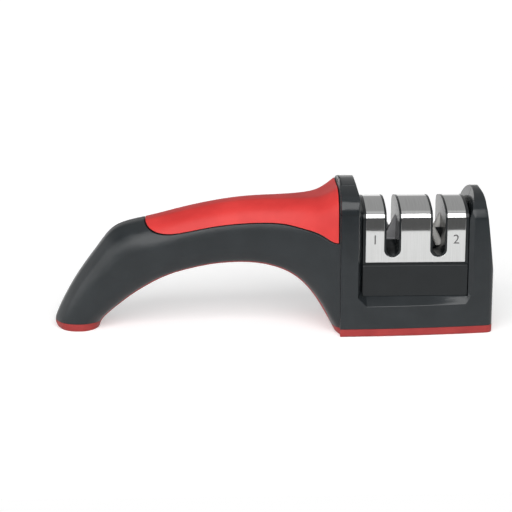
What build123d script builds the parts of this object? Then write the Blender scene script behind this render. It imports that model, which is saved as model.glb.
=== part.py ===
from build123d import *
import os
from math import cos, sin, pi, radians, sqrt

# Pull through knife sharpener: an arched handle and a head with a lift-out two-stage module.
# X runs along the length from the toe of the handle to the head, Y across, Z up from the table.
# The origin is at the bottom, in the middle of the length and of the depth.

# Driving sizes of the housing
overall_length = 204.5
body_depth = 48.0
post_height = 70.0
end_post_drop = 4.6
left_post_width = 10.2
end_post_width = 13.4
handle_root_overlap = 1.6
housing_wall = 2.4
handle_wall = 4.2
overrun = 5.0

# Red soft parts
sole_thickness = 3.6
trim_thickness = 1.8
grip_thickness = 1.6
grip_groove = 0.5

# Stations of the handle, from the toe to the head. Each row has the place of the upper point and
# of the lower point of a section, as shares of the handle's length and of the post's height, then
# the section's half width as a share of half the body's depth.
handle_station_shares = [
    (0.0090, 0.000, 0.1550, 0.000, 0.474),
    (0.0044, 0.093, 0.1850, 0.089, 0.506),
    (0.0400, 0.232, 0.2300, 0.161, 0.520),
    (0.0950, 0.401, 0.2770, 0.230, 0.542),
    (0.1560, 0.558, 0.3280, 0.293, 0.562),
    (0.2040, 0.665, 0.3720, 0.340, 0.575),
    (0.2560, 0.712, 0.4190, 0.379, 0.584),
    (0.3300, 0.744, 0.4720, 0.408, 0.584),
    (0.4360, 0.793, 0.5390, 0.435, 0.584),
    (0.5610, 0.844, 0.6100, 0.450, 0.584),
    (0.6820, 0.873, 0.6900, 0.450, 0.588),
    (0.7920, 0.880, 0.7750, 0.423, 0.621),
    (0.8720, 0.886, 0.8510, 0.357, 0.700),
    (0.9290, 0.900, 0.9110, 0.244, 0.810),
    (0.9740, 0.941, 0.9565, 0.107, 0.901),
    (1.0121, 0.977, 1.0000, -0.043, 0.943),
]
# Roundness of each station: the powers of the upper and the lower half of its outline.
handle_roundness = [
    (2.0, 2.3),
    (2.1, 2.3),
    (2.3, 2.5),
    (2.3, 2.8),
    (2.3, 3.2),
    (2.3, 3.6),
    (2.3, 4.0),
    (2.3, 4.0),
    (2.4, 4.0),
    (2.4, 4.0),
    (2.5, 4.0),
    (2.7, 4.2),
    (3.0, 4.4),
    (3.6, 4.8),
    (4.4, 5.2),
    (5.0, 5.6),
]
points_per_quarter = 4

# Lower border of the grip, from its tip to the head, as shares of the handle's length and of the
# post's height.
grip_border_shares = [
    (0.3240, 0.7620),
    (0.3260, 0.7300),
    (0.3480, 0.6920),
    (0.3900, 0.6710),
    (0.4700, 0.6860),
    (0.5720, 0.7220),
    (0.6680, 0.7400),
    (0.7500, 0.7450),
    (0.8120, 0.7380),
    (0.8750, 0.7130),
    (0.9430, 0.6730),
    (0.9880, 0.6330),
]
grip_end_gap = 1.0

# Head block: plan, side and crown
block_end_side_share = 0.80
block_end_bulge = 2.0
block_corner_radius = 3.5
block_lean_height_share = 0.33
block_lean_round = 7.0
block_end_draft = 0.8
block_top_inset = 5.5
end_post_corner_drop = 5.0
end_post_corner_run = 2.3
post_corner_radius = 1.6
crown_rise = 3.4
crown_shoulder = 6.0
crown_margin = 0.06
crown_sections = 5

# Bay that takes the module, and the bevelled pocket that leads to it
bay_floor_share = 0.257
bay_lean_drop = 11.5
end_lean_drop = 11.4
left_post_lean = 2.8
end_post_lean = 3.2
pocket_bevel = 2.2
pocket_bevel_height = 3.6
pocket_corner = 4.0
pocket_corner_share = 0.5
pocket_reach_share = 1.6
rail_depth = 1.2
rail_width = 8.0
rail_drop = 4.0

# Cap across the crown of the left post
cap_half_width = 10.8
cap_thickness = 2.4
cap_side_inset = 0.9

# Module
module_end_gap = 0.3
module_end_margin = 13.6
module_depth = 36.0
module_top_drop = 9.3
module_crown_rise = 2.7
module_bend_radius = 3.0
cover_skirt = 26.8
cover_thickness = 0.7
cheek_thickness = 1.2
module_fit = 0.1
rail_gap = 0.3

# Panels below the cover, one on each side, with two clips each
panel_proud = 0.4
panel_ledge = 0.8
panel_thickness = 1.6
clip_spread_share = 0.7
clip_width = 5.0
clip_height = 1.8
clip_reach = 2.4
clip_rise = 6.0

# Knife slots, with depths from the top of the module
slot_spacing = 21.2
slot_width = 7.7
slot_depth = 24.4
lip_thickness = 0.95

# Sharpening stages, with depths from the top of the module
stage_cross_depth = 13.6
stage_lean = 27.0
carbide_thickness = 2.0
carbide_above = 8.6
carbide_below = 7.0
carbide_spacing = 0.8
rod_diameter = 3.6
rod_above = 8.6
rod_below = 9.0
rod_spacing = 0.8
rod_round = 0.8
holder_gap = 2.4
holder_end_wall = 1.1
holder_depth = 9.6
holder_top_drop = 4.1
holder_foot = 5.2
coarse_block_depth = 19.2
web_drop = 1.2

# Screws
screw_radius = 1.25
screw_head_radius = 2.7
screw_head_height = 1.9
screw_recess_radius = 3.0
screw_clearance_radius = 1.5
screw_pilot_radius = 1.3
screw_length = 11.0
screw_drive_radius = 1.0
screw_drive_depth = 1.1
boss_radius = 4.4
shell_screw_seat = 6.0
# Places of the handle's screws, as shares of the handle's length and of the post's height
handle_screw_shares = [(0.152, 0.250), (0.425, 0.545), (0.727, 0.640)]
# Places of the head's screws: the inset from each end of the block, and the height above the sole
head_screw_insets = [6.2, 8.2]
head_screw_rise = 8.0
core_screw_seat = 8.0
core_screw_z_share = 0.45
core_screw_inset = 5.5
# Seat of a holder's screw, on the way from the bay's floor up to the holder
holder_screw_seat_share = 0.77117
holder_screw_length = 7.0

# Ribs inside the handle, as shares of its length
handle_rib_shares = [0.29, 0.36, 0.51, 0.60, 0.83]
rib_thickness = 1.4
rib_opening = 8.0

# Treads under the base and the toe
tread_count = 8
toe_tread_count = 2
tread_width = 1.4
tread_depth = 0.7
tread_margin = 4.0
tread_side_margin = 3.0
sole_edge_radius = 0.6

# Sizes that follow from the ones above
half_depth = body_depth / 2
module_length = slot_spacing + 2 * module_end_margin
bay_width = module_length + 2 * module_end_gap
block_length = left_post_width + bay_width + end_post_width
toe_x = -overall_length / 2
head_end_x = overall_length / 2
block_left_x = head_end_x - block_length
handle_length = block_left_x - toe_x
handle_middle_x = (toe_x + block_left_x) / 2
end_post_height = post_height - end_post_drop
bay_left_x = block_left_x + left_post_width
bay_right_x = bay_left_x + bay_width
bay_centre_x = bay_left_x + bay_width / 2
bay_floor_z = post_height * bay_floor_share
bay_lean_z = post_height - bay_lean_drop
end_lean_z = end_post_height - end_lean_drop
rail_top_z = end_lean_z - rail_drop
module_left_x = bay_left_x + module_end_gap
module_right_x = bay_right_x - module_end_gap
module_half = module_depth / 2
module_top_z = post_height - module_top_drop
cover_bottom_z = module_top_z - cover_skirt
panel_half = module_half + panel_proud
panel_top_z = cover_bottom_z - panel_ledge
core_low_half = panel_half - panel_thickness
clip_z = bay_floor_z + clip_rise
stage_xs = [bay_centre_x - slot_spacing / 2, bay_centre_x + slot_spacing / 2]
inner_slot_width = slot_width - 2 * lip_thickness
slot_bottom_z = module_top_z - slot_depth
slot_floor_z = slot_bottom_z + lip_thickness
stage_cross_z = module_top_z - stage_cross_depth
holder_half_length = (slot_spacing - holder_gap) / 2
holder_bottom_z = slot_bottom_z - holder_foot
holder_top_z = module_top_z - holder_top_drop
holder_screw_seat_z = bay_floor_z + (holder_bottom_z - bay_floor_z) * holder_screw_seat_share
coarse_block_z = module_top_z - coarse_block_depth
carbide_reach = holder_half_length - holder_end_wall
carbide_width = (carbide_reach - carbide_above * sin(radians(stage_lean))) / cos(radians(stage_lean))


def along_handle(x_share, z_share):
    # Point of the side view, from shares of the handle's length and of the post's height
    return Vector(toe_x + handle_length * x_share, 0, post_height * z_share)


def rounded_quarter(middle, start, end, power):
    # Quarter of a rounded outline, from one half axis to the next
    points = [middle + start]
    for step in range(1, points_per_quarter):
        angle = pi / 2 * step / points_per_quarter
        points.append(middle + start * cos(angle) ** (2 / power) + end * sin(angle) ** (2 / power))
    points.append(middle + end)
    return Spline(*points, tangents=(end.normalized(), start.normalized() * -1))


def handle_section(station, roundness, inset):
    # Closed outline of one station in four smooth quarters, drawn in by the inset
    upper = along_handle(station[0], station[1])
    lower = along_handle(station[2], station[3])
    middle = (upper + lower) / 2
    rise = (upper - lower).normalized() * ((upper - lower).length / 2 - inset)
    side = Vector(0, half_depth * station[4] - inset, 0)
    corners = [rise, side, rise * -1, side * -1, rise]
    powers = [roundness[0], roundness[1], roundness[1], roundness[0]]
    return Wire([rounded_quarter(middle, corners[k], corners[k + 1], powers[k]) for k in range(4)])


def handle_form(inset):
    # Arched handle from the toe to the head, as one smooth loft through its stations
    rows = zip(handle_station_shares, handle_roundness)
    return Solid.make_loft([handle_section(row, round_row, inset) for row, round_row in rows])


def span_box(low, high):
    # Box between two corners
    size = Vector(*high) - Vector(*low)
    return Pos(*((Vector(*high) + Vector(*low)) / 2)) * Box(size.X, size.Y, size.Z)


def outline(points):
    # Closed straight outline in the side view
    return Polyline(*[(x, 0, z) for x, z in points], close=True)


def y_prism(points, half_width):
    # Straight-sided solid across the body, from points of the side view
    return extrude(make_face(outline(points)), half_width, both=True, dir=(0, 1, 0))


def block_side(inset):
    # Side view of the head block, with a lower post at the far end
    left = block_left_x + inset
    right = head_end_x - inset
    top = post_height - inset
    end_top = end_post_height - inset
    middle = bay_centre_x
    foot = Vector(right, 0, 0)
    knee = Vector(right - block_end_draft, 0, post_height * block_lean_height_share)
    lean_end = Vector(right - block_top_inset, 0, end_top - end_post_corner_drop)
    before_knee = knee + (foot - knee).normalized() * block_lean_round
    after_knee = knee + (lean_end - knee).normalized() * block_lean_round
    corner_end = Vector(lean_end.X - end_post_corner_run, 0, end_top)
    corner_peak = Vector(lean_end.X, 0, end_top)
    edges = [
        Line((left, 0, 0), foot),
        Line(foot, before_knee),
        Bezier(before_knee, knee, after_knee),
        Line(after_knee, lean_end),
        Bezier(lean_end, corner_peak, corner_end),
        Line(corner_end, (middle, 0, end_top)),
        Line((middle, 0, end_top), (middle, 0, top)),
        Line((middle, 0, top), (left + post_corner_radius, 0, top)),
        Bezier((left + post_corner_radius, 0, top), (left, 0, top), (left, 0, top - post_corner_radius)),
        Line((left, 0, top - post_corner_radius), (left, 0, 0)),
    ]
    return extrude(make_face(Wire(edges)), body_depth, both=True, dir=(0, 1, 0))


def block_plan(inset):
    # Plan of the head block: sides that draw in towards the end, and a gently bowed end face
    left = block_left_x + inset
    end = head_end_x - inset
    corner_x = end - block_end_bulge
    side = half_depth - inset
    end_side = half_depth * block_end_side_share - inset
    edges = [
        Line((left, side), (left, -side)),
        TangentArc((left, -side), (corner_x, -end_side), tangent=(1, 0)),
        ThreePointArc((corner_x, -end_side), (end, 0), (corner_x, end_side)),
        TangentArc((left, side), (corner_x, end_side), tangent=(1, 0)),
    ]
    face = make_face(Wire(edges))
    corners = face.vertices().sort_by(Axis.X)[-2:]
    face = fillet(corners, block_corner_radius - inset)
    return extrude(face, post_height)


def side_at(x):
    # Half width of the head block's plan at a place along it, on the arc of its side
    run = head_end_x - block_end_bulge - block_left_x
    fall = half_depth * (1 - block_end_side_share)
    radius = (run**2 + fall**2) / (2 * fall)
    return half_depth - radius + sqrt(radius**2 - (x - block_left_x) ** 2)


def crown_outline(x, top, side, rise, shoulder):
    # Section square to X whose top is a gentle arch that runs on into rounded shoulders
    arch_side = side - shoulder
    arch_z = top - rise
    slope = 2 * rise * arch_side / (arch_side**2 - rise**2)
    peak_z = arch_z - slope * shoulder
    edges = [
        Line((x, -side, 0), (x, side, 0)),
        Line((x, side, 0), (x, side, peak_z - shoulder)),
        Bezier((x, side, peak_z - shoulder), (x, side, peak_z), (x, arch_side, arch_z)),
        ThreePointArc((x, arch_side, arch_z), (x, 0, top), (x, -arch_side, arch_z)),
        Bezier((x, -arch_side, arch_z), (x, -side, peak_z), (x, -side, peak_z - shoulder)),
        Line((x, -side, peak_z - shoulder), (x, -side, 0)),
    ]
    return Wire(edges)


def crown_prism(left, right, top, side, rise, shoulder):
    # Straight solid along X with an arched top
    return extrude(make_face(crown_outline(left, top, side, rise, shoulder)), right - left, dir=(1, 0, 0))


def post_crown(left, right, top, inset):
    # Solid over part of the head block whose arched top and shoulders follow the block's sides
    sections = []
    for step in range(crown_sections):
        x = left + (right - left) * step / (crown_sections - 1)
        side = side_at(x) + crown_margin - inset
        sections.append(crown_outline(x, top, side, crown_rise, crown_shoulder))
    return Solid.make_loft(sections)


def block_form(inset):
    # Head block before the bay is cut
    left = post_crown(block_left_x, bay_centre_x, post_height - inset, inset)
    right = post_crown(bay_centre_x, head_end_x, end_post_height - inset, inset)
    return block_side(inset) & block_plan(inset) & (left + right)


def bay_points(grow):
    # Side view of the bay, open at the top, with walls that lean away above the module
    top = post_height + overrun
    left = bay_left_x - grow
    right = bay_right_x + grow
    left_slope = left_post_lean / (post_height - bay_lean_z)
    right_slope = end_post_lean / (end_post_height - end_lean_z)
    return [
        (left, bay_floor_z - grow),
        (left, bay_lean_z),
        (left - left_slope * (top - bay_lean_z), top),
        (right + right_slope * (top - end_lean_z), top),
        (right, end_lean_z),
        (right, bay_floor_z - grow),
    ]


def pocket_trough(side):
    # Everything above the sloping lower face of the pocket, which runs out along the arc of the side
    inner_y = panel_half + module_fit
    left = bay_left_x - pocket_bevel * pocket_reach_share
    right = bay_right_x + pocket_bevel * pocket_reach_share
    low = bay_floor_z - pocket_bevel_height * pocket_reach_share
    top = post_height + overrun
    sections = []
    for step in range(crown_sections):
        x = left + (right - left) * step / (crown_sections - 1)
        far_y = inner_y + (side_at(x) - inner_y) * pocket_reach_share
        corners = [(inner_y, bay_floor_z), (far_y, low), (far_y, top), (inner_y, top)]
        sections.append(Wire(Polyline(*[(x, side * y, z) for y, z in corners], close=True)))
    return Solid.make_loft(sections)


def pocket_mouth(x, turn):
    # Inner and far ends of the pocket's upright edge at one end of the bay, turned out to that end
    inner_y = panel_half + module_fit
    outer_y = side_at(x + turn * pocket_bevel)
    far_y = inner_y + (outer_y - inner_y) * pocket_reach_share
    return (x, inner_y), (x + turn * pocket_bevel * pocket_reach_share, far_y)


def pocket_corner_wedge(x, turn, side):
    # Material left in a lower corner of the pocket
    near, far = pocket_mouth(x, turn)
    inner_corner = pocket_corner * pocket_corner_share
    far_corner = inner_corner + (pocket_corner - inner_corner) * pocket_reach_share
    far_z = bay_floor_z - pocket_bevel_height * pocket_reach_share
    wires = []
    for (end_x, y), z, corner in ((near, bay_floor_z, inner_corner), (far, far_z, far_corner)):
        out_x = end_x + turn * overrun
        low_z = z - overrun
        reach = corner + 2 * overrun
        points = [(out_x, low_z), (out_x - turn * reach, low_z), (out_x, low_z + reach)]
        wires.append(Wire(Polyline(*[(px, side * y, pz) for px, pz in points], close=True)))
    return Solid.make_loft(wires[:: turn * side], ruled=True)


def pocket_flare(side):
    # Bevel round the mouth of the bay on one side, from the module's face out past the side of the body
    left_near, left_far = pocket_mouth(bay_left_x, -1)
    right_near, right_far = pocket_mouth(bay_right_x, 1)
    plan = [(x, side * y) for x, y in (left_near, left_far, right_far, right_near)]
    low = bay_floor_z - 2 * pocket_bevel_height
    base = make_face(Polyline(*[(x, y, low) for x, y in plan], close=True))
    mouth = extrude(base, post_height, dir=(0, 0, 1))
    flare = pocket_trough(side) & mouth
    flare -= pocket_corner_wedge(bay_left_x, -1, side)
    flare -= pocket_corner_wedge(bay_right_x, 1, side)
    return flare


def rail(left_x, right_x):
    # Upright rail on the wall of a post, which guides the end of the module
    half = rail_width / 2
    return span_box((left_x, -half, bay_floor_z), (right_x, half, rail_top_z))


def red_line_region():
    # Everything under the border between the black housing and the red parts beneath it
    border = []
    for station in handle_station_shares:
        upper = along_handle(station[0], station[1])
        lower = along_handle(station[2], station[3])
        point = lower + (upper - lower).normalized() * trim_thickness
        if point.Z > sole_thickness:
            border.append(point)
    toe_end = Vector(border[0].X - trim_thickness, 0, sole_thickness)
    head_end = Vector(border[-1].X + trim_thickness, 0, sole_thickness)
    curve = Spline(toe_end, *border, head_end)
    left = toe_x - overrun
    right = head_end_x + overrun
    outer = [(right, sole_thickness), (right, -overrun), (left, -overrun), (left, sole_thickness)]
    rest = Polyline(head_end, *[(x, 0, z) for x, z in outer], toe_end)
    face = make_face(Wire([curve] + list(rest.edges())))
    return extrude(face, body_depth, both=True, dir=(0, 1, 0))


def grip_region(grow):
    # Outline of the grip in the side view, with room for the groove below it and at its ends
    border = [along_handle(*share) - Vector(grow, 0, grow) for share in grip_border_shares]
    right = block_left_x - grip_end_gap + grow
    last = Vector(right, 0, border[-1].Z)
    curve = Spline(*border, last)
    top = post_height + overrun
    rest = Polyline(last, (right, 0, top), (border[0].X, 0, top), border[0])
    face = make_face(Wire([curve] + list(rest.edges())))
    return extrude(face, body_depth, both=True, dir=(0, 1, 0))


def cap_box(grow):
    # Room of the cap across the crown of the left post
    half = cap_half_width + grow
    low = post_height - crown_rise - cap_thickness - grow
    return span_box(
        (block_left_x + cap_side_inset - grow, -half, low), (bay_left_x, half, post_height + overrun)
    )


def shell_screw_places():
    # Places of the shell screws in the side view
    places = [along_handle(x, z) for x, z in handle_screw_shares]
    left_inset, right_inset = head_screw_insets
    z = sole_thickness + head_screw_rise
    places.append(Vector(block_left_x + left_inset, 0, z))
    places.append(Vector(head_end_x - right_inset, 0, z))
    return [(place.X, place.Z) for place in places]


def y_cylinder(x, z, radius, low_y, high_y):
    # Round bar along Y
    middle = Pos(x, (low_y + high_y) / 2, z)
    return middle * Rot(90, 0, 0) * Cylinder(radius, high_y - low_y)


def screw(length):
    # Pan head screw with a cross recess: the seat at the origin, the head above and the shank below
    head = Pos(0, 0, screw_head_height / 2) * Cylinder(screw_head_radius, screw_head_height)
    head = fillet(head.edges().filter_by(GeomType.CIRCLE).sort_by(Axis.Z)[-1:], screw_head_height / 2)
    shank = Pos(0, 0, -length / 2) * Cylinder(screw_radius, length)
    body = head + chamfer(shank.edges().filter_by(GeomType.CIRCLE).sort_by(Axis.Z)[:1], screw_radius / 2)
    half = screw_drive_radius
    arm = screw_drive_radius / 3
    low = screw_head_height - screw_drive_depth
    for wide, tall in ((half, arm), (arm, half)):
        body -= span_box((-wide, -tall, low), (wide, tall, screw_head_height + overrun))
    return body


def back_screw(x, z, seat_y):
    # Screw put in from the back
    return Pos(x, seat_y, z) * Rot(-90, 0, 0) * screw(screw_length)


def screw_holes(x, z, seat_y, recess_y):
    # Recess and clearance hole behind the parting plane, and pilot hole in front of it
    recess = y_cylinder(x, z, screw_recess_radius, seat_y, recess_y)
    passage = y_cylinder(x, z, screw_clearance_radius, 0, seat_y)
    pilot = y_cylinder(x, z, screw_pilot_radius, seat_y - screw_length - screw_pilot_radius, 0)
    return recess + passage, pilot


def knife_slot(centre_x, width, bottom_z):
    # Slot across the module with a half round bottom
    radius = width / 2
    top = post_height
    low = bottom_z + radius
    straight = span_box((centre_x - radius, -half_depth, low), (centre_x + radius, half_depth, top))
    return straight + y_cylinder(centre_x, bottom_z + radius, radius, -half_depth, half_depth)


def module_skin(left, right, inset):
    # Arched form of the module, drawn in by the inset
    form = crown_prism(
        left, right, module_top_z - inset, module_half - inset, module_crown_rise, module_bend_radius - inset
    )
    return form & span_box((left, -half_depth, bay_floor_z), (right, half_depth, post_height))


def steel_cover():
    # Bent steel cover with two slots, open underneath
    left = module_left_x + cheek_thickness + module_fit
    right = module_right_x - cheek_thickness - module_fit
    cover = module_skin(left, right, 0) - module_skin(left - overrun, right + overrun, cover_thickness)
    cover &= span_box((left, -half_depth, cover_bottom_z), (right, half_depth, post_height))
    for centre_x in stage_xs:
        cover -= knife_slot(centre_x, slot_width, slot_bottom_z)
    return cover


def holder_room(centre_x, top):
    # Room of the block that holds one stage
    side = holder_half_length
    half = holder_depth / 2
    return span_box((centre_x - side, -half, holder_bottom_z), (centre_x + side, half, top))


def clip_boxes(side, grow):
    # Clips of one panel, or with room round them their pockets in the core
    boxes = []
    for turn in (-1, 1):
        x = bay_centre_x + turn * module_length / 2 * clip_spread_share
        wide = clip_width / 2 + grow
        tall = clip_height / 2 + grow
        near = side * core_low_half
        far = side * (core_low_half - clip_reach - grow)
        low_y, high_y = sorted([near, far])
        boxes.append(span_box((x - wide, low_y, clip_z - tall), (x + wide, high_y, clip_z + tall)))
    return boxes


def panel(side):
    # Panel under the cover on one side, with a bevelled ledge and two clips
    low_y, high_y = sorted([side * core_low_half, side * panel_half])
    plate = span_box((module_left_x, low_y, bay_floor_z), (module_right_x, high_y, panel_top_z))
    edges = plate.edges().filter_by(Axis.X).sort_by(Axis.Z)[-2:]
    plate = chamfer(edges.sort_by(lambda edge: abs(edge.center().Y))[-1:], panel_ledge)
    for box in clip_boxes(side, 0):
        plate += box
    return plate


def module_core():
    # Both halves of the core as one solid: cheeks, lips, lower body and rail grooves
    left = module_left_x
    right = module_right_x
    core = module_skin(left, right, cover_thickness)
    core &= span_box((left, -half_depth, panel_top_z), (right, half_depth, post_height))
    core += module_skin(left, left + cheek_thickness, 0) & above_panel()
    core += module_skin(right - cheek_thickness, right, 0) & above_panel()
    core += span_box((left, -core_low_half, bay_floor_z), (right, core_low_half, panel_top_z))
    outside = module_skin(left, right, 0)
    for centre_x in stage_xs:
        core += outside & knife_slot(centre_x, slot_width - 2 * module_fit, slot_bottom_z + module_fit)
    for centre_x in stage_xs:
        core -= knife_slot(centre_x, inner_slot_width, slot_floor_z)
        core -= holder_room(centre_x, post_height)
    for side in (-1, 1):
        for box in clip_boxes(side, module_fit):
            core -= box
    half = rail_width / 2 + rail_gap
    top = rail_top_z + rail_gap
    depth = rail_depth + rail_gap
    core -= span_box((bay_left_x, -half, bay_floor_z), (bay_left_x + depth, half, top))
    core -= span_box((bay_right_x - depth, -half, bay_floor_z), (bay_right_x, half, top))
    return core


def above_panel():
    # Everything of the module that stands above the panels
    return span_box((module_left_x, -half_depth, panel_top_z), (module_right_x, half_depth, post_height))


def core_screw_places():
    # Places of the screws that join the core halves
    z = bay_floor_z + (panel_top_z - bay_floor_z) * core_screw_z_share
    return [(module_left_x + core_screw_inset, z), (module_right_x - core_screw_inset, z)]


def holder_screw_hole(centre_x):
    # Recess and passage from below for the screw that fixes a holder
    recess = span_cylinder(centre_x, screw_recess_radius, bay_floor_z - overrun, holder_screw_seat_z)
    return recess + span_cylinder(centre_x, screw_clearance_radius, holder_screw_seat_z, holder_bottom_z)


def span_cylinder(x, radius, low_z, high_z):
    # Upright round bar in the middle plane
    return Pos(x, 0, (low_z + high_z) / 2) * Cylinder(radius, high_z - low_z)


def holder_screw(centre_x):
    # Screw that fixes a holder from below
    return Pos(centre_x, 0, holder_screw_seat_z) * Rot(180, 0, 0) * screw(holder_screw_length)


def holder_block(centre_x, block_z, web):
    # Block that holds one pair of abrasives: two ears under the cover and the walls of the slot
    lips = knife_slot(centre_x, slot_width - 2 * module_fit, slot_bottom_z + module_fit)
    lips &= holder_room(centre_x, post_height)
    body = holder_room(centre_x, holder_top_z) + (lips & module_skin(module_left_x, module_right_x, 0))
    body -= knife_slot(centre_x, inner_slot_width, slot_floor_z)
    side = inner_slot_width / 2
    half = holder_depth / 2
    low = slot_bottom_z
    body += span_box((centre_x - side, -half, low), (centre_x + side, half, block_z))
    body += span_box((centre_x - side, -web / 2, low), (centre_x + side, web / 2, stage_cross_z - web_drop))
    pilot_end = holder_screw_seat_z + holder_screw_length + screw_pilot_radius - screw_radius
    return body - span_cylinder(centre_x, screw_pilot_radius, holder_bottom_z, pilot_end)


def lean_frame(centre_x, lean):
    # Directions along and square to a leaning edge that passes through the crossing point
    angle = radians(stage_lean) * lean
    along = Vector(sin(angle), 0, cos(angle))
    out = Vector(cos(angle), 0, -sin(angle)) * lean
    return Vector(centre_x, 0, stage_cross_z), along, out


def carbide_blade(centre_x, lean, near_y, far_y):
    # Carbide plate whose inner edge is one side of the notch
    origin, along, out = lean_frame(centre_x, lean)
    clip = carbide_thickness / 2
    points = [
        origin - along * carbide_below,
        origin + along * carbide_above,
        origin + along * carbide_above + out * (carbide_width - clip),
        origin + along * (carbide_above - clip) + out * carbide_width,
        origin - along * (carbide_below - clip) + out * carbide_width,
        origin - along * carbide_below + out * (carbide_width - clip),
    ]
    face = make_face(Polyline(*[point + Vector(0, near_y, 0) for point in points], close=True))
    return extrude(face, far_y - near_y, dir=(0, 1, 0))


def ceramic_rod(centre_x, lean, middle_y):
    # Ceramic rod whose inner side is one side of the notch, with rounded ends
    origin, along, out = lean_frame(centre_x, lean)
    start = origin - along * rod_below + out * (rod_diameter / 2) + Vector(0, middle_y, 0)
    base = Plane(origin=start, z_dir=along)
    rod = extrude(base * Circle(rod_diameter / 2), rod_above + rod_below)
    return fillet(rod.edges().filter_by(GeomType.CIRCLE), rod_round)


def slab(low_x, high_x, low_y, high_y, low_z, high_z):
    # Box that takes one region of the whole part, from its limits
    return span_box((low_x, low_y, low_z), (high_x, high_y, high_z))


def housing_body(handle_outer):
    # Handle and head as one solid, with the bay, its bevelled pocket and its rails
    body = handle_outer + block_form(0)
    body -= y_prism(bay_points(0), body_depth)
    for side in (-1, 1):
        body -= pocket_flare(side)
    body += rail(bay_left_x - rail_depth, bay_left_x + rail_depth)
    body += rail(bay_right_x - rail_depth, bay_right_x + rail_depth)
    return body


def treads(left_x, right_x, half_width, count):
    # Shallow grooves across the underside, evenly spaced between two places
    pitch = (right_x - left_x) / (count - 1)
    half = tread_width / 2
    grooves = []
    for step in range(count):
        x = left_x + pitch * step
        side = half_width - tread_side_margin
        grooves.append(slab(x - half, x + half, -side, side, -overrun, tread_depth))
    return grooves


def rounded_sole(pad):
    # Soft pad with its bottom edge rounded
    bottom = pad.faces().sort_by(Axis.Z)[0]
    return fillet(bottom.edges(), sole_edge_radius)


def hollow_of_handle(places):
    # Hollow inside the handle, less the ribs and the screw bosses
    low = sole_thickness + housing_wall
    void = handle_form(handle_wall) & slab(toe_x, block_left_x, -body_depth, body_depth, low, post_height)
    half = rib_thickness / 2
    for share in handle_rib_shares:
        x = toe_x + handle_length * share
        for low_y, high_y in ((-body_depth, -rib_opening), (rib_opening, body_depth)):
            void -= slab(x - half, x + half, low_y, high_y, 0, post_height)
    return void - bosses(places)


def hollow_of_block(places):
    # Hollow inside the head round the bay, less the screw bosses
    low = sole_thickness + housing_wall
    top = post_height - crown_rise - cap_thickness - housing_wall
    left = block_left_x + housing_wall
    void = block_form(housing_wall) & slab(left, head_end_x, -body_depth, body_depth, low, top)
    keep = pocket_bevel + housing_wall
    keep_low = bay_floor_z - pocket_bevel_height - housing_wall
    keep_high = post_height + overrun
    void -= slab(bay_left_x - keep, bay_right_x + keep, -body_depth, body_depth, keep_low, keep_high)
    return void - bosses(places)


def bosses(places):
    # Screw bosses right through the housing
    return [y_cylinder(x, z, boss_radius, -body_depth, body_depth) for x, z in places]


def front_half(solid):
    # What lies in front of the parting plane
    reach = overall_length
    return solid & slab(-reach, reach, -body_depth, 0, -overrun, post_height + overrun)


def back_half(solid):
    # What lies behind the parting plane
    reach = overall_length
    return solid & slab(-reach, reach, 0, body_depth, -overrun, post_height + overrun)


def joined_halves(solid, places, seat_y):
    # Both halves of a solid and the screws that join them from the back
    front = front_half(solid)
    back = back_half(solid)
    screws = []
    for x, z in places:
        behind, ahead = screw_holes(x, z, seat_y, body_depth)
        back -= behind
        front -= ahead
        screws.append(back_screw(x, z, seat_y))
    return front, back, Compound(screws)


def make_housing():
    # Housing shells, their soft parts, the cap and the screws, by node name
    room_end = block_left_x + handle_root_overlap
    high = post_height + overrun
    handle_room = slab(toe_x - overrun, room_end, -body_depth, body_depth, 0, high)
    handle_outer = handle_form(0) & handle_room
    body = housing_body(handle_outer)

    red = body & red_line_region()
    toe_pad = red & slab(toe_x - overrun, handle_middle_x, -body_depth, body_depth, -overrun, sole_thickness)
    base_pad = red & slab(handle_middle_x, head_end_x, -body_depth, body_depth, -overrun, sole_thickness)
    arch_trim = red & slab(toe_x, head_end_x, -body_depth, body_depth, sole_thickness, high)
    body -= red_line_region()

    grip_skin = handle_outer - handle_form(grip_thickness)
    grip_inlay = grip_region(0) & grip_skin
    body -= grip_region(grip_groove) & grip_skin
    post_cap = body & cap_box(0)
    body -= cap_box(module_fit)

    places = shell_screw_places()
    body -= hollow_of_handle(places)
    body -= hollow_of_block(places)
    front_shell, back_shell, shell_screws = joined_halves(body, places, shell_screw_seat)

    base_pad = rounded_sole(base_pad)
    toe_pad = rounded_sole(toe_pad)
    end_side = half_depth * block_end_side_share
    base_pad -= treads(block_left_x + tread_margin, head_end_x - tread_margin, end_side, tread_count)
    toe_box = toe_pad.bounding_box()
    toe_margin = 2 * tread_margin
    toe_pad -= treads(toe_box.min.X + toe_margin, toe_box.max.X - toe_margin, toe_box.max.Y, toe_tread_count)
    return {
        "front_shell": front_shell,
        "back_shell": back_shell,
        "post_cap": post_cap,
        "grip_inlay": grip_inlay,
        "base_pad": base_pad,
        "arch_trim": arch_trim,
        "toe_pad": toe_pad,
        "shell_screws": shell_screws,
    }


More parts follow.
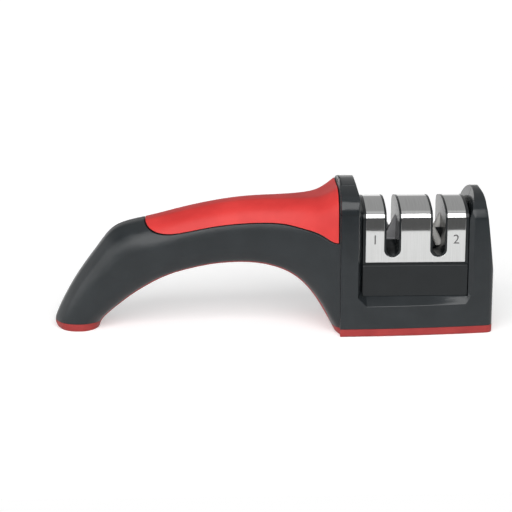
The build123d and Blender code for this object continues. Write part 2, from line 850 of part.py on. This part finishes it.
def make_module():
    # Lift-out module with its cover, core, panels, holders and abrasives, by node name
    core = module_core()
    for centre_x in stage_xs:
        core -= holder_screw_hole(centre_x)
    core_front, core_back, core_screws = joined_halves(core, core_screw_places(), core_screw_seat)

    coarse_x, fine_x = stage_xs
    near = carbide_spacing / 2
    far = near + carbide_thickness
    carbide_front = carbide_blade(coarse_x, 1, -far, -near)
    carbide_back = carbide_blade(coarse_x, -1, near, far)
    coarse_holder = holder_block(coarse_x, coarse_block_z, carbide_spacing) - carbide_front - carbide_back
    rod_y = (rod_spacing + rod_diameter) / 2
    rod_front = ceramic_rod(fine_x, -1, -rod_y)
    rod_back = ceramic_rod(fine_x, 1, rod_y)
    fine_holder = holder_block(fine_x, slot_floor_z, rod_spacing) - rod_front - rod_back
    return {
        "steel_cover": steel_cover(),
        "core_front": core_front,
        "core_back": core_back,
        "core_screws": core_screws,
        "panel_front": panel(-1),
        "panel_back": panel(1),
        "coarse_holder": coarse_holder,
        "fine_holder": fine_holder,
        "holder_screws": Compound([holder_screw(centre_x) for centre_x in stage_xs]),
        "carbide_blade_front": carbide_front,
        "carbide_blade_back": carbide_back,
        "ceramic_rod_front": rod_front,
        "ceramic_rod_back": rod_back,
    }


os.makedirs("parts", exist_ok=True)
nodes = {**make_housing(), **make_module()}
for name, shape in nodes.items():
    export_step(shape, f"parts/{name}.step")
    print(name, len(shape.solids()), round(shape.volume))
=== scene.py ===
import bpy
import math
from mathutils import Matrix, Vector


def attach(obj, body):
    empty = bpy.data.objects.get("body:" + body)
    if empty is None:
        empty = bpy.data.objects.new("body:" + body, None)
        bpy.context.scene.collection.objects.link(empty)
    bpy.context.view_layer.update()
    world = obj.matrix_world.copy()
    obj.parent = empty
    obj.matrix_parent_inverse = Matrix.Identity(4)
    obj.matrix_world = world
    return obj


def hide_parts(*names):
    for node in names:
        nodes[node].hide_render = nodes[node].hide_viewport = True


# Pull through knife sharpener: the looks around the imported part.
# Metres. The handle runs to -X, the head with its two slots is at +X, -Y faces the viewer.

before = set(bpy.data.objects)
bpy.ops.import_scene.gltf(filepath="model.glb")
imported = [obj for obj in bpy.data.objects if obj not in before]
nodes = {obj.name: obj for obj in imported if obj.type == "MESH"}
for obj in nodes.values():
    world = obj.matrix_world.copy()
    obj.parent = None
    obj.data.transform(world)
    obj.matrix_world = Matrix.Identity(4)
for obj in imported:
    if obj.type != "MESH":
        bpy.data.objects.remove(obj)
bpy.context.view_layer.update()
bpy.ops.object.select_all(action="DESELECT")
print("frame loaded:", len(nodes), "nodes")


# helpers for node materials

def newMaterial(name):
    mat = bpy.data.materials.new(name)
    mat.use_nodes = True
    tree = mat.node_tree
    return mat, tree, tree.nodes["Principled BSDF"]


def addNode(tree, kind, **values):
    # a node with its properties or sockets set by name
    node = tree.nodes.new(kind)
    for key, value in values.items():
        if hasattr(node, key):
            setattr(node, key, value)
        else:
            node.inputs[key.replace("_", " ")].default_value = value
    return node


def objectNoise(tree, size, detail=2.0, rough=0.5, stretch=(1, 1, 1)):
    # noise whose grains are about size metres across, on Object coordinates
    coords = addNode(tree, "ShaderNodeTexCoord")
    mapping = addNode(tree, "ShaderNodeMapping")
    mapping.inputs["Scale"].default_value = [s / size for s in stretch]
    noise = addNode(tree, "ShaderNodeTexNoise", Scale=1.0, Detail=detail, Roughness=rough)
    tree.links.new(coords.outputs["Object"], mapping.inputs["Vector"])
    tree.links.new(mapping.outputs["Vector"], noise.inputs["Vector"])
    return noise.outputs["Fac"]


def ramp(tree, fac, stops):
    # colour ramp from (place, colour) stops
    node = addNode(tree, "ShaderNodeValToRGB")
    band = node.color_ramp
    band.elements[0].position, band.elements[0].color = stops[0][0], (*stops[0][1], 1)
    band.elements[1].position, band.elements[1].color = stops[-1][0], (*stops[-1][1], 1)
    for place, colour in stops[1:-1]:
        band.elements.new(place).color = (*colour, 1)
    tree.links.new(fac, node.inputs["Fac"])
    return node.outputs["Color"]


def twoTones(tree, fac, look):
    # from the dark tone to the light one, between the look's two stops
    return ramp(tree, fac, list(zip(look["stops"], (look["dark"], look["light"]))))


def greys(levels):
    # ramp stops from (place, level) pairs
    return [(place, (level,) * 3) for place, level in levels]


def spread(tree, fac, low, high):
    # a value that follows fac between low and high
    node = addNode(tree, "ShaderNodeMapRange")
    node.inputs["To Min"].default_value = low
    node.inputs["To Max"].default_value = high
    tree.links.new(fac, node.inputs["Value"])
    return node.outputs["Result"]


def stepBetween(tree, value, start, end):
    # 0 up to start, 1 from end on
    node = addNode(tree, "ShaderNodeMapRange")
    node.inputs["From Min"].default_value = start
    node.inputs["From Max"].default_value = end
    tree.links.new(value, node.inputs["Value"])
    return node.outputs["Result"]


def axisOf(tree, coordinates, axis):
    # one axis of the texture coordinates
    place = addNode(tree, "ShaderNodeTexCoord")
    split = addNode(tree, "ShaderNodeSeparateXYZ")
    tree.links.new(place.outputs[coordinates], split.inputs["Vector"])
    return split.outputs[axis]


def addBump(tree, shader, height, distance):
    bump = addNode(tree, "ShaderNodeBump", Strength=1.0, Distance=distance)
    tree.links.new(height, bump.inputs["Height"])
    tree.links.new(bump.outputs["Normal"], shader.inputs["Normal"])


# finishes: moulded plastic and rubber

def mouldedPlastic(name, look):
    # faint mottling in the colour, fine spark-eroded grain on the surface
    mat, tree, shader = newMaterial(name)
    mottle = objectNoise(tree, look["mottleSize"], detail=3)
    tree.links.new(twoTones(tree, mottle, look), shader.inputs["Base Color"])
    grain = objectNoise(tree, look["grainSize"])
    roughness = spread(tree, grain, *look["roughness"])
    if "handleRoughness" in look:
        # the handle has a duller finish than the head
        onHead = stepBetween(tree, axisOf(tree, "Object", "X"), *look["handleEnd"])
        eitherPart = addNode(tree, "ShaderNodeMix", data_type="FLOAT")
        tree.links.new(onHead, eitherPart.inputs[0])
        tree.links.new(spread(tree, grain, *look["handleRoughness"]), eitherPart.inputs[2])
        tree.links.new(roughness, eitherPart.inputs[3])
        roughness = eitherPart.outputs[0]
    tree.links.new(roughness, shader.inputs["Roughness"])
    shader.inputs["Specular IOR Level"].default_value = look["specular"]
    addBump(tree, shader, grain, look["grainDepth"])
    return mat


shellLook = {
    "dark": (0.0098, 0.0125, 0.0143), "light": (0.0134, 0.0166, 0.0188), "stops": (0.35, 0.65),
    "mottleSize": 0.012, "grainSize": 0.00035, "grainDepth": 0.000002, "roughness": (0.20, 0.25),
    "handleRoughness": (0.33, 0.39), "handleEnd": (0.0294, 0.0298), "specular": 0.37,
}
coreLook = {
    "dark": (0.0075, 0.0092, 0.0102), "light": (0.0095, 0.0115, 0.0127), "stops": (0.35, 0.65),
    "mottleSize": 0.02, "grainSize": 0.0003, "grainDepth": 0.000002, "roughness": (0.2, 0.26),
    "specular": 0.30,
}
gripLook = {
    "dark": (0.48, 0.028, 0.026), "light": (0.55, 0.036, 0.033), "stops": (0.35, 0.65),
    "mottleSize": 0.014, "grainSize": 0.0004, "grainDepth": 0.000006, "roughness": (0.44, 0.54),
    "specular": 0.25,
}
# the sole's red is darker than the grip's red: partly its own tone, partly painted shade for its
# low, near-vertical faces
soleLookWithPaintedShade = {
    "dark": (0.26, 0.027, 0.027), "light": (0.31, 0.036, 0.034), "stops": (0.35, 0.65),
    "mottleSize": 0.01, "grainSize": 0.0004, "grainDepth": 0.000006, "roughness": (0.48, 0.58),
    "specular": 0.25,
}
blackPlastic = mouldedPlastic("satinBlackPlastic", shellLook)
corePlastic = mouldedPlastic("moduleBlackPlastic", coreLook)
gripRed = mouldedPlastic("softRedGrip", gripLook)
soleRedWithPaintedShade = mouldedPlastic("softRedSoleWithPaintedShade", soleLookWithPaintedShade)


# finishes: steel and carbide

def brushedMetal(name, look):
    # metal brushed along one way: fine streaks in colour, roughness and bump
    mat, tree, shader = newMaterial(name)
    shader.inputs["Metallic"].default_value = 1.0
    streak = objectNoise(tree, look["streakSize"], detail=3, stretch=look["stretch"])
    tree.links.new(twoTones(tree, streak, look), shader.inputs["Base Color"])
    tree.links.new(spread(tree, streak, *look["roughness"]), shader.inputs["Roughness"])
    addBump(tree, shader, streak, look["streakDepth"])
    return mat


coverLook = {
    "dark": (0.555, 0.56, 0.555), "light": (0.625, 0.63, 0.625), "stops": (0.3, 0.7),
    "streakSize": 0.0003, "stretch": (1, 0.02, 0.02), "streakDepth": 0.0000008,
    "roughness": (0.02, 0.04),
}
screwLook = {
    "dark": (0.50, 0.50, 0.52), "light": (0.62, 0.62, 0.63), "stops": (0.3, 0.7),
    "streakSize": 0.0006, "stretch": (1, 1, 1), "streakDepth": 0.000006, "roughness": (0.26, 0.36),
}
carbideLook = {
    "dark": (0.30, 0.30, 0.31), "light": (0.40, 0.40, 0.41), "stops": (0.3, 0.7),
    "streakSize": 0.0002, "stretch": (0.3, 1, 1), "streakDepth": 0.000008, "roughness": (0.28, 0.4),
}
coverSteel = brushedMetal("brushedCoverSteel", coverLook)
screwSteel = brushedMetal("platedScrewSteel", screwLook)
carbideGrey = brushedMetal("groundCarbide", carbideLook)


# finishes: unglazed ceramic

def ceramicFinish(name, look):
    mat, tree, shader = newMaterial(name)
    speckle = objectNoise(tree, look["speckleSize"], detail=4, rough=0.7)
    tree.links.new(twoTones(tree, speckle, look), shader.inputs["Base Color"])
    tree.links.new(spread(tree, speckle, *look["roughness"]), shader.inputs["Roughness"])
    addBump(tree, shader, speckle, look["speckleDepth"])
    return mat


rodLook = {
    "dark": (0.62, 0.61, 0.58), "light": (0.78, 0.77, 0.74), "stops": (0.35, 0.6),
    "speckleSize": 0.0004, "speckleDepth": 0.00002, "roughness": (0.55, 0.7),
}
rodCeramic = ceramicFinish("unglazedCeramic", rodLook)

finishes = {
    blackPlastic: ["front_shell", "back_shell", "post_cap"],
    gripRed: ["grip_inlay"],
    soleRedWithPaintedShade: ["base_pad", "arch_trim", "toe_pad"],
    screwSteel: ["shell_screws", "core_screws", "holder_screws"],
    coverSteel: ["steel_cover"],
    corePlastic: ["core_front", "core_back", "panel_front", "panel_back",
                  "coarse_holder", "fine_holder"],
    carbideGrey: ["carbide_blade_front", "carbide_blade_back"],
    rodCeramic: ["ceramic_rod_front", "ceramic_rod_back"],
}
for finish, names in finishes.items():
    for name in names:
        nodes[name].data.materials.clear()
        nodes[name].data.materials.append(finish)
print("finishes on")


# rounded edges: merged copies of the moulded and pressed pieces, with their sharp edges rounded

def makeActive(piece):
    bpy.ops.object.select_all(action="DESELECT")
    bpy.context.view_layer.objects.active = piece
    piece.select_set(True)


mergeSetup = {"distance": 0.000002, "flatAngle": 0.5}


def roundedCopy(nodeName, pieceName, body, edges):
    piece = bpy.data.objects.new(pieceName, nodes[nodeName].data.copy())
    bpy.context.collection.objects.link(piece)
    makeActive(piece)
    bpy.ops.mesh.customdata_custom_splitnormals_clear()
    bpy.ops.object.mode_set(mode="EDIT")
    bpy.ops.mesh.select_all(action="SELECT")
    bpy.ops.mesh.remove_doubles(threshold=mergeSetup["distance"])
    bpy.ops.mesh.dissolve_limited(angle_limit=math.radians(mergeSetup["flatAngle"]))
    bpy.ops.object.mode_set(mode="OBJECT")
    rounding = piece.modifiers.new("roundedEdges", "BEVEL")
    rounding.width = edges["width"]
    rounding.segments = 2
    rounding.limit_method = "ANGLE"
    rounding.angle_limit = math.radians(edges["sharp"])
    rounding.use_clamp_overlap = False
    bpy.ops.object.modifier_apply(modifier="roundedEdges")
    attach(piece, body)
    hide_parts(nodeName)
    return piece


shadingSetup = {"smoothAngle": 35, "flatWeight": 100}


def smoothFaces(piece):
    # round faces are shaded smooth, and flat ones stay flat up to their rounded edges
    makeActive(piece)
    bpy.ops.object.shade_smooth_by_angle(angle=math.radians(shadingSetup["smoothAngle"]))
    flats = piece.modifiers.new("flatFaces", "WEIGHTED_NORMAL")
    flats.keep_sharp = True
    flats.weight = shadingSetup["flatWeight"]
    bpy.ops.object.modifier_apply(modifier="flatFaces")
    print(piece.name, len(piece.data.polygons), "faces")


def selectFaces(piece, test):
    # selects the faces that pass the test, and goes into edit mode
    makeActive(piece)
    bpy.ops.object.mode_set(mode="EDIT")
    bpy.ops.mesh.select_mode(type="FACE")
    bpy.ops.mesh.select_all(action="DESELECT")
    bpy.ops.object.mode_set(mode="OBJECT")
    for face in piece.data.polygons:
        face.select = test(face)
    bpy.ops.object.mode_set(mode="EDIT")


def cutSeam(piece, seam):
    # narrow seam round the top of the post, under its cap
    low = seam["height"]
    high = low + seam["width"]
    middle = low + seam["width"] / 2

    def crosses(face):
        corners = [piece.data.vertices[v].co for v in face.vertices]
        return (any(seam["left"] < corner.x < seam["right"] for corner in corners)
                and abs(face.center.y) > seam["inside"]
                and min(corner.z for corner in corners) < high
                and max(corner.z for corner in corners) > low)

    def inStrip(face):
        return (seam["left"] < face.center.x < seam["right"] and abs(face.center.y) > seam["inside"]
                and abs(face.center.z - middle) < seam["width"] * seam["stripShare"])

    for height in (low, high):
        selectFaces(piece, crosses)
        bpy.ops.mesh.bisect(plane_co=(0, 0, height), plane_no=(0, 0, 1))
        bpy.ops.object.mode_set(mode="OBJECT")
    selectFaces(piece, inStrip)
    bpy.ops.mesh.extrude_region_shrink_fatten(TRANSFORM_OT_shrink_fatten={"value": -seam["depth"]})
    bpy.ops.object.mode_set(mode="OBJECT")


shellEdges = {"width": 0.0003, "sharp": 30}
coverEdges = {"width": 0.00012, "sharp": 40}
capSeam = {"left": 0.0290, "right": 0.0430, "inside": 0.012, "height": 0.0574, "width": 0.0004,
           "depth": 0.0004, "stripShare": 0.45}
frontShell = roundedCopy("front_shell", "frontShellRounded", "housing", shellEdges)
backShell = roundedCopy("back_shell", "backShellRounded", "housing", shellEdges)
for shell in (frontShell, backShell):
    cutSeam(shell, capSeam)
roundedPieces = [
    frontShell,
    backShell,
    roundedCopy("post_cap", "postCapRounded", "housing", shellEdges),
    roundedCopy("steel_cover", "steelCoverRounded", "cartridge", coverEdges),
    roundedCopy("panel_front", "frontPanelRounded", "cartridge", coverEdges),
    roundedCopy("panel_back", "backPanelRounded", "cartridge", coverEdges),
]
for piece in roundedPieces:
    smoothFaces(piece)
print("edges rounded")


# stage numbers, etched into the front of the cover beside each slot

numberSetup = {"size": 0.0062, "height": 0.0444, "face": -0.018, "proud": 0.00003,
               "places": {"1": 0.0457, "2": 0.0830}}
etchLook = {
    "dark": (0.10, 0.10, 0.10), "light": (0.16, 0.16, 0.16), "stops": (0.3, 0.7),
    "streakSize": 0.0004, "stretch": (1, 1, 1), "streakDepth": 0.000004, "roughness": (0.5, 0.6),
}
etchedSteel = brushedMetal("etchedSteel", etchLook)
for number, place in numberSetup["places"].items():
    bpy.ops.object.select_all(action="DESELECT")
    bpy.ops.object.text_add(location=(0, 0, 0))
    mark = bpy.context.object
    mark.name = "stageNumber" + number
    mark.data.body = number
    mark.data.size = numberSetup["size"]
    mark.data.align_x = "CENTER"
    mark.data.align_y = "CENTER"
    mark.data.extrude = numberSetup["proud"]
    bpy.ops.object.convert(target="MESH")
    mark = bpy.context.object
    mark.rotation_euler = (math.radians(90), 0, 0)  # stands up and faces the front
    mark.location = (place, numberSetup["face"], numberSetup["height"])
    bpy.ops.object.transform_apply(location=True, rotation=True)
    mark.data.materials.clear()
    mark.data.materials.append(etchedSteel)
    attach(mark, "cartridge")
print("stage numbers on")


# floor: pale paper that runs far back

floorSetup = {
    "halfX": 0.6, "front": -0.210, "back": 1.6,
    "dark": (0.792, 0.792, 0.792), "light": (0.80, 0.80, 0.80), "stops": (0.3, 0.7),
    "mottleSize": 0.05, "roughness": 0.9,
    "glow": [(0.0, 0.20), (0.12, 0.38), (0.24, 0.58), (1.0, 1.0)],
}
floorLength = floorSetup["back"] - floorSetup["front"]
bpy.ops.mesh.primitive_plane_add(size=1, location=(0, floorSetup["front"] + floorLength / 2, 0))
floor = bpy.context.object
floor.name = "paleFloor"
floor.scale = (floorSetup["halfX"] * 2, floorLength, 1)
bpy.ops.object.transform_apply(location=True, scale=True)
floorMat, floorTree, floorShader = newMaterial("paleFloorPaint")
floorMottle = objectNoise(floorTree, floorSetup["mottleSize"])
floorTree.links.new(twoTones(floorTree, floorMottle, floorSetup), floorShader.inputs["Base Color"])
floorShader.inputs["Roughness"].default_value = floorSetup["roughness"]
floorShader.inputs["Specular IOR Level"].default_value = 0.0
floorShader.inputs["Emission Color"].default_value = (1, 1, 1, 1)


def seenAsBackground(tree):
    # 1 for camera rays and for what gloss and glass show, else 0
    path = addNode(tree, "ShaderNodeLightPath")
    seen = path.outputs["Is Camera Ray"]
    for kind in ("Is Glossy Ray", "Is Transmission Ray"):
        either = addNode(tree, "ShaderNodeMath", operation="MAXIMUM")
        tree.links.new(seen, either.inputs[0])
        tree.links.new(path.outputs[kind], either.inputs[1])
        seen = either.outputs[0]
    return seen


# the paper grows brighter towards the back, where the light from the front no longer reaches
floorGlow = ramp(floorTree, axisOf(floorTree, "Generated", "Y"), greys(floorSetup["glow"]))
glow = addNode(floorTree, "ShaderNodeMath", operation="MULTIPLY")
floorTree.links.new(seenAsBackground(floorTree), glow.inputs[0])
floorTree.links.new(floorGlow, glow.inputs[1])
floorTree.links.new(glow.outputs[0], floorShader.inputs["Emission Strength"])
floor.data.materials.append(floorMat)


# world: even fill for the surfaces, white for the eye, and for gloss a room with a white
# backdrop behind the object, a dark end in front of it and a grey ceiling

worldSetup = {
    "fill": 0.16, "turn": (-0.15, 0.15),
    "behind": [(0.09, 1.0), (0.17, 0.43), (0.90, 0.47), (1.0, 0.75)],
    "ahead": [(0.60, 0.135), (0.80, 0.25), (0.88, 0.45), (1.0, 0.75)],
}
world = bpy.data.worlds.new("studioWorld")
bpy.context.scene.world = world
world.use_nodes = True
worldTree = world.node_tree
worldTree.nodes.clear()


def addSky(strength):
    # plain white light from all round
    sky = addNode(worldTree, "ShaderNodeBackground", Strength=strength)
    sky.inputs["Color"].default_value = (1, 1, 1, 1)
    return sky


def chooseSky(choice, sky, otherSky):
    # sky where the choice is 0, otherSky where it is 1
    chosen = addNode(worldTree, "ShaderNodeMixShader")
    worldTree.links.new(choice, chosen.inputs["Fac"])
    worldTree.links.new(sky.outputs[0], chosen.inputs[1])
    worldTree.links.new(otherSky.outputs[0], chosen.inputs[2])
    return chosen


upwards = axisOf(worldTree, "Generated", "Z")
towardsBack = stepBetween(worldTree, axisOf(worldTree, "Generated", "Y"), *worldSetup["turn"])
room = addNode(worldTree, "ShaderNodeMixRGB")
worldTree.links.new(towardsBack, room.inputs["Fac"])
worldTree.links.new(ramp(worldTree, upwards, greys(worldSetup["ahead"])), room.inputs["Color1"])
worldTree.links.new(ramp(worldTree, upwards, greys(worldSetup["behind"])), room.inputs["Color2"])
roomSky = addNode(worldTree, "ShaderNodeBackground")
worldTree.links.new(room.outputs["Color"], roomSky.inputs["Color"])
litOrSeen = chooseSky(seenAsBackground(worldTree), addSky(worldSetup["fill"]), roomSky)
worldPath = addNode(worldTree, "ShaderNodeLightPath")
wholeSky = chooseSky(worldPath.outputs["Is Camera Ray"], litOrSeen, addSky(1.0))
worldOut = addNode(worldTree, "ShaderNodeOutputWorld")
worldTree.links.new(wholeSky.outputs[0], worldOut.inputs["Surface"])


# soft boxes round the object

lamps = {
    "frontSoftbox": {"at": (0.0, -0.69, 0.53), "aim": (0, 0, 0.03),
                     "size": (0.9, 0.80), "watts": 9.2},
    "leftSoftbox": {"at": (-0.67, -0.41, 0.235), "aim": (-0.085, 0, 0.04),
                    "size": (0.87, 0.34), "watts": 2.3},
    "leftWall": {"at": (-0.81, 0.14, 0.26), "aim": (-0.085, 0, 0.04),
                 "size": (0.80, 0.34), "watts": 0.55},
    "rightSoftbox": {"at": (0.80, -0.20, 0.26), "aim": (0.05, 0, 0.04),
                     "size": (1.1, 0.34), "watts": 1.6},
    "handleStrip": {"at": (-0.09, -0.66, 0.15), "aim": (-0.03, 0, 0.045),
                    "size": (0.20, 0.10), "watts": 0.32},  # light along the edge of the grip
}
for lampName, lampSetup in lamps.items():
    bpy.ops.object.light_add(type="AREA", location=lampSetup["at"])
    lamp = bpy.context.object
    lamp.name = lampName
    lamp.data.shape = "RECTANGLE"
    lamp.data.size, lamp.data.size_y = lampSetup["size"]
    lamp.data.energy = lampSetup["watts"]
    aim = Vector(lampSetup["aim"]) - Vector(lampSetup["at"])
    lamp.rotation_euler = aim.to_track_quat("-Z", "Y").to_euler()
print("floor and light placed")


# camera at the photograph's viewing angle

viewSetup = {"lens": 126.56, "sensor": 36, "azimuth": -2.0, "elevation": 15.0, "distance": 0.84204,
             "target": (-0.00824, 0.0, 0.03269)}
azimuth = math.radians(viewSetup["azimuth"])
elevation = math.radians(viewSetup["elevation"])
towardsViewer = Vector((math.sin(azimuth) * math.cos(elevation),
                        -math.cos(azimuth) * math.cos(elevation), math.sin(elevation)))
cameraPlace = Vector(viewSetup["target"]) + towardsViewer * viewSetup["distance"]
bpy.ops.object.camera_add(location=cameraPlace)
camera = bpy.context.object
camera.name = "photoCamera"
camera.rotation_mode = "QUATERNION"
camera.rotation_quaternion = (-towardsViewer).to_track_quat("-Z", "Y")
camera.data.lens = viewSetup["lens"]
camera.data.sensor_width = viewSetup["sensor"]
bpy.context.scene.camera = camera
bpy.context.scene.view_settings.view_transform = "Standard"
print("camera placed")
